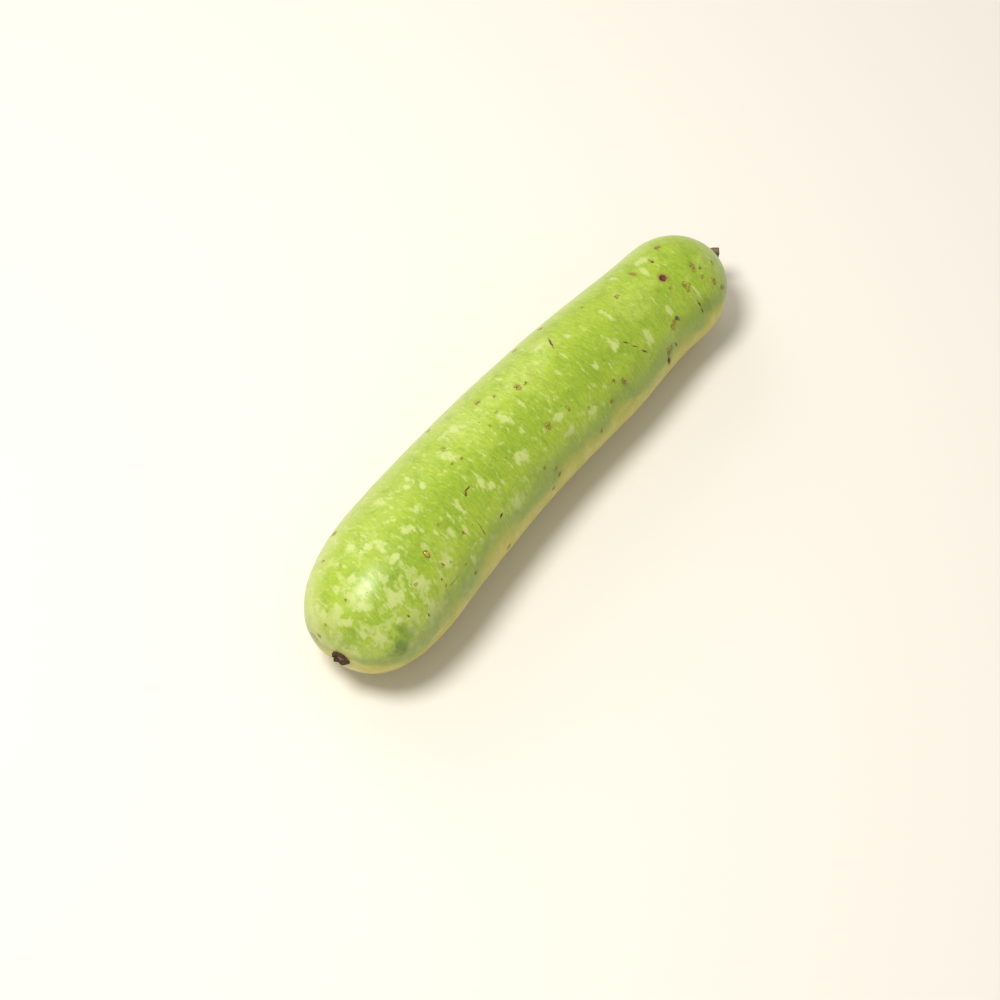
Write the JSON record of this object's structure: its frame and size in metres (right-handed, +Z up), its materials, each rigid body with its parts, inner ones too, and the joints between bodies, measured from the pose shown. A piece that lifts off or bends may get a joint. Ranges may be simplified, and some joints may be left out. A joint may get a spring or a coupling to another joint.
{
  "type": "bottle gourd",
  "caption": "Long, gently bowed green bottle gourd lying on its side, with a cut stem stub, a blossom scar and dried sap drops.",
  "frame": {"origin": "centre of the bounding box's bottom, on the surface that the gourd rests on", "axes": "+X along the fruit from its blossom end to its stem end, +Z up, +Y towards the outside of its sideways bow"},
  "size_m": [0.2904, 0.0694, 0.0672],
  "materials": {
    "skin": "fresh gourd skin: yellow-green with pale cream-green blotches, satin",
    "dried_stem": "dry, ribbed, brown-olive",
    "scar_cork": "dry, rough, dark brown",
    "dried_sap": "glossy amber gum"
  },
  "bodies": {
    "root": {"fruit": "skin", "stem_stub": "dried_stem", "blossom_scar": "scar_cork", "sap_bead_belly": "dried_sap", "sap_bead_neck": "dried_sap"}
  },
  "joints": []
}
